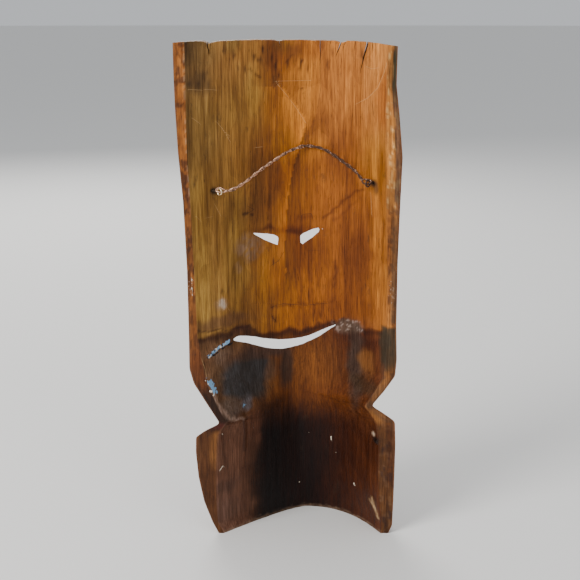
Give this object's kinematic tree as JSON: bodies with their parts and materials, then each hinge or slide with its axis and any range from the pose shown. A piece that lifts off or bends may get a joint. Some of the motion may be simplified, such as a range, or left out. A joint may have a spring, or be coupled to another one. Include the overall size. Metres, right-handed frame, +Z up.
{
  "type": "carved wooden mask",
  "caption": "Tall half-log wooden folk mask, hollowed behind, with eye and mouth slots, a flared foot and a twisted hanging wire on two screw eyes.",
  "frame": {"origin": "bottom centre of the bounding box, on the surface that the foot stands on", "axes": "+Z up the mask, -Y the way the carved face looks, +Y out of the hollow at the back, +X to the left as seen from behind"},
  "size_m": [0.1924, 0.0951, 0.4435],
  "materials": {
    "carved_wood": "hand-carved, stained and worn, traces of paint",
    "eye_wire": "dulled, rust-spotted",
    "hanger_wire": "soft iron wire, rusted brown"
  },
  "bodies": {
    "mask": {"mask_shell": "carved_wood", "screw_eye_left": "eye_wire", "screw_eye_right": "eye_wire"},
    "wire": {"hanging_wire": "hanger_wire"}
  },
  "joints": [
    {"name": "wire_swing", "type": "hinge", "parent": "mask", "child": "wire", "pos_m": [0.0599, 0.0398, 0.3173], "axis": [-0.9985, 0, 0.0556], "range_deg": [0, 266]}
  ]
}
